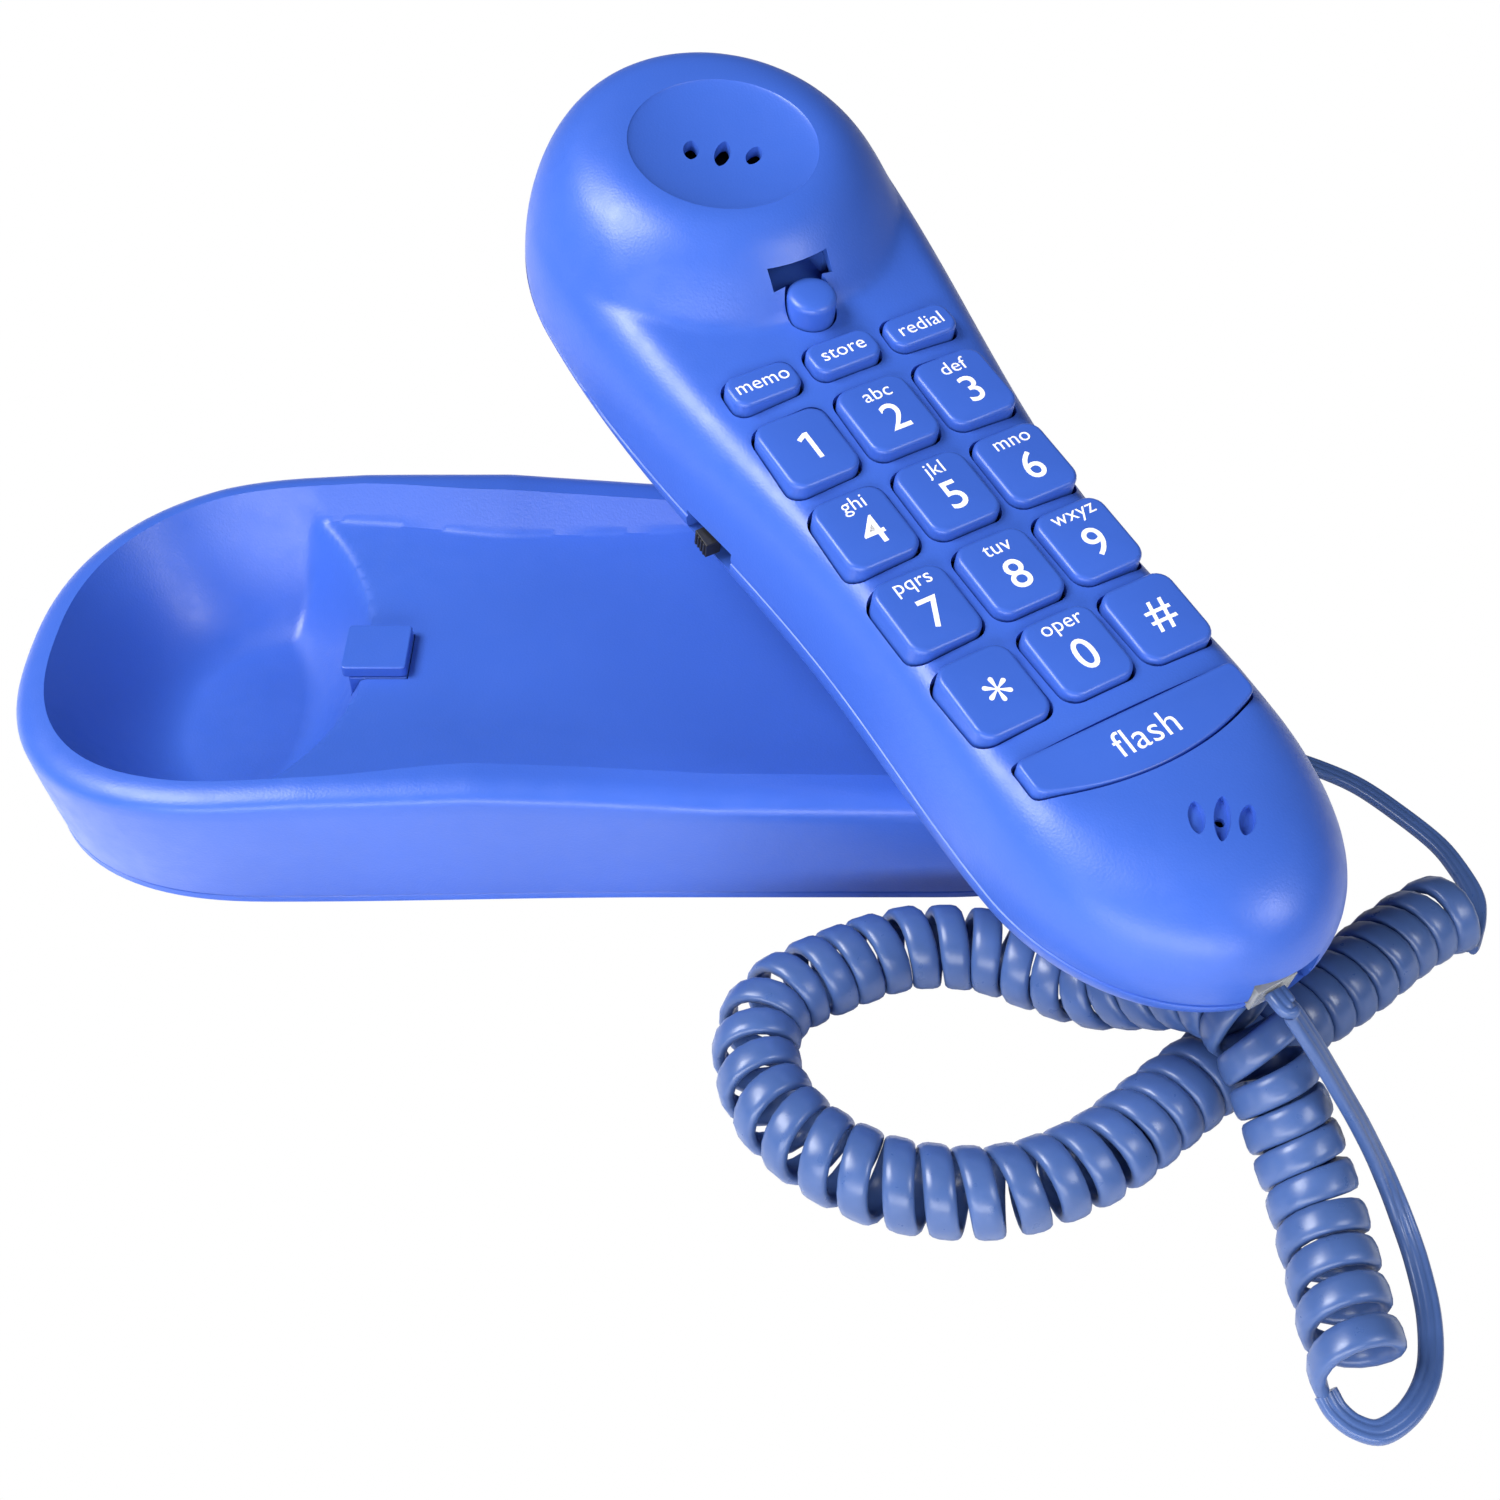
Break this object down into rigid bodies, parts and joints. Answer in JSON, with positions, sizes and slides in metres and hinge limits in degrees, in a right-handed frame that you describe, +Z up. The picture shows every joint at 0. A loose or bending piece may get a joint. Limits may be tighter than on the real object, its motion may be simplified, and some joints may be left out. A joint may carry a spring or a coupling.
{
  "type": "corded telephone",
  "caption": "Slimline corded telephone: a cradle base, a banana-shaped handset with push keys laid across it, and a curly cord on the table.",
  "frame": {"origin": "centre of the base's outline, on the surface that its feet stand on", "axes": "+X along the base to its jack end, +Y to the rear, +Z up"},
  "size_m": [0.2677, 0.228, 0.1084],
  "materials": {
    "shell": "satin moulded ABS, fine grain",
    "key_plastic": "satin moulded ABS, white printed legends",
    "foot_rubber": "matt rubber",
    "screw_steel": "zinc-plated",
    "ballast_steel": "plain steel",
    "jack_plastic": "black moulded",
    "circuit_board": "solder mask",
    "clear_plug": "clear polycarbonate",
    "cord_vinyl": "soft vinyl, slightly glossy",
    "membrane_rubber": "silicone",
    "chip_plastic": "moulded epoxy",
    "capacitor_sleeve": "shrink sleeve",
    "receiver_plastic": "moulded",
    "seal_rubber": "foam rubber",
    "microphone_can": "drawn can",
    "ringer_brass": "brass disc",
    "switch_plastic": "moulded",
    "slider_plastic": "black moulded",
    "spring_steel": "spring wire"
  },
  "bodies": {
    "base": {"base_cover": "shell", "base_bottom": "shell", "base_feet": "foot_rubber", "base_screws": "screw_steel", "ballast_plate": "ballast_steel", "hanger_tab": "shell", "base_jack": "jack_plastic", "line_jack": "jack_plastic", "jack_board": "circuit_board", "base_plug": "clear_plug", "base_lead": "cord_vinyl", "curly_cord": "cord_vinyl", "handset_lead": "cord_vinyl"},
    "handset": {"handset_plug": "clear_plug", "handset_jack": "jack_plastic", "handset_front": "shell", "handset_back": "shell", "handset_screws": "screw_steel", "main_board": "circuit_board", "keypad_membrane": "membrane_rubber", "dialler_chip": "chip_plastic", "board_capacitors": "capacitor_sleeve", "receiver": "receiver_plastic", "receiver_gasket": "seal_rubber", "microphone": "microphone_can", "microphone_boot": "seal_rubber", "ringer_disc": "ringer_brass", "ringer_switch": "switch_plastic", "hook_switch": "switch_plastic", "hook_spring": "spring_steel"},
    "hook_plunger": {"hook_plunger": "key_plastic"},
    "ringer_slider": {"ringer_slider": "slider_plastic"},
    "key_memo": {"key_memo": "key_plastic"},
    "key_store": {"key_store": "key_plastic"},
    "key_redial": {"key_redial": "key_plastic"},
    "key_1": {"key_1": "key_plastic"},
    "key_2": {"key_2": "key_plastic"},
    "key_3": {"key_3": "key_plastic"},
    "key_4": {"key_4": "key_plastic"},
    "key_5": {"key_5": "key_plastic"},
    "key_6": {"key_6": "key_plastic"},
    "key_7": {"key_7": "key_plastic"},
    "key_8": {"key_8": "key_plastic"},
    "key_9": {"key_9": "key_plastic"},
    "key_star": {"key_star": "key_plastic"},
    "key_0": {"key_0": "key_plastic"},
    "key_hash": {"key_hash": "key_plastic"},
    "key_flash": {"key_flash": "key_plastic"}
  },
  "joints": [
    {"name": "handset_lift", "type": "slide", "parent": "base", "child": "handset", "axis": [0, 0, 1], "range_m": [0, 0.03]},
    {"name": "hook_press", "type": "slide", "parent": "handset", "child": "hook_plunger", "axis": [-0.0859, 0.2007, -0.9759], "range_m": [0, 0.0035], "stiffness_N_per_m": 300, "deforming": ["hook_spring"]},
    {"name": "ringer_slide", "type": "slide", "parent": "handset", "child": "ringer_slider", "axis": [-0.5054, 0.8353, 0.2163], "range_m": [-0.0035, 0.0035]},
    {"name": "key_memo_press", "type": "slide", "parent": "handset", "child": "key_memo", "axis": [-0.0859, 0.2007, -0.9759], "range_m": [0, 0.0012], "stiffness_N_per_m": 800},
    {"name": "key_store_press", "type": "slide", "parent": "handset", "child": "key_store", "axis": [-0.0859, 0.2007, -0.9759], "range_m": [0, 0.0012], "stiffness_N_per_m": 800},
    {"name": "key_redial_press", "type": "slide", "parent": "handset", "child": "key_redial", "axis": [-0.0859, 0.2007, -0.9759], "range_m": [0, 0.0012], "stiffness_N_per_m": 800},
    {"name": "key_1_press", "type": "slide", "parent": "handset", "child": "key_1", "axis": [-0.0859, 0.2007, -0.9759], "range_m": [0, 0.0012], "stiffness_N_per_m": 800},
    {"name": "key_2_press", "type": "slide", "parent": "handset", "child": "key_2", "axis": [-0.0859, 0.2007, -0.9759], "range_m": [0, 0.0012], "stiffness_N_per_m": 800},
    {"name": "key_3_press", "type": "slide", "parent": "handset", "child": "key_3", "axis": [-0.0859, 0.2007, -0.9759], "range_m": [0, 0.0012], "stiffness_N_per_m": 800},
    {"name": "key_4_press", "type": "slide", "parent": "handset", "child": "key_4", "axis": [-0.0859, 0.2007, -0.9759], "range_m": [0, 0.0012], "stiffness_N_per_m": 800},
    {"name": "key_5_press", "type": "slide", "parent": "handset", "child": "key_5", "axis": [-0.0859, 0.2007, -0.9759], "range_m": [0, 0.0012], "stiffness_N_per_m": 800},
    {"name": "key_6_press", "type": "slide", "parent": "handset", "child": "key_6", "axis": [-0.0859, 0.2007, -0.9759], "range_m": [0, 0.0012], "stiffness_N_per_m": 800},
    {"name": "key_7_press", "type": "slide", "parent": "handset", "child": "key_7", "axis": [-0.0859, 0.2007, -0.9759], "range_m": [0, 0.0012], "stiffness_N_per_m": 800},
    {"name": "key_8_press", "type": "slide", "parent": "handset", "child": "key_8", "axis": [-0.0859, 0.2007, -0.9759], "range_m": [0, 0.0012], "stiffness_N_per_m": 800},
    {"name": "key_9_press", "type": "slide", "parent": "handset", "child": "key_9", "axis": [-0.0859, 0.2007, -0.9759], "range_m": [0, 0.0012], "stiffness_N_per_m": 800},
    {"name": "key_star_press", "type": "slide", "parent": "handset", "child": "key_star", "axis": [-0.0859, 0.2007, -0.9759], "range_m": [0, 0.0012], "stiffness_N_per_m": 800},
    {"name": "key_0_press", "type": "slide", "parent": "handset", "child": "key_0", "axis": [-0.0859, 0.2007, -0.9759], "range_m": [0, 0.0012], "stiffness_N_per_m": 800},
    {"name": "key_hash_press", "type": "slide", "parent": "handset", "child": "key_hash", "axis": [-0.0859, 0.2007, -0.9759], "range_m": [0, 0.0012], "stiffness_N_per_m": 800},
    {"name": "key_flash_press", "type": "slide", "parent": "handset", "child": "key_flash", "axis": [-0.0859, 0.2007, -0.9759], "range_m": [0, 0.0012], "stiffness_N_per_m": 800}
  ]
}
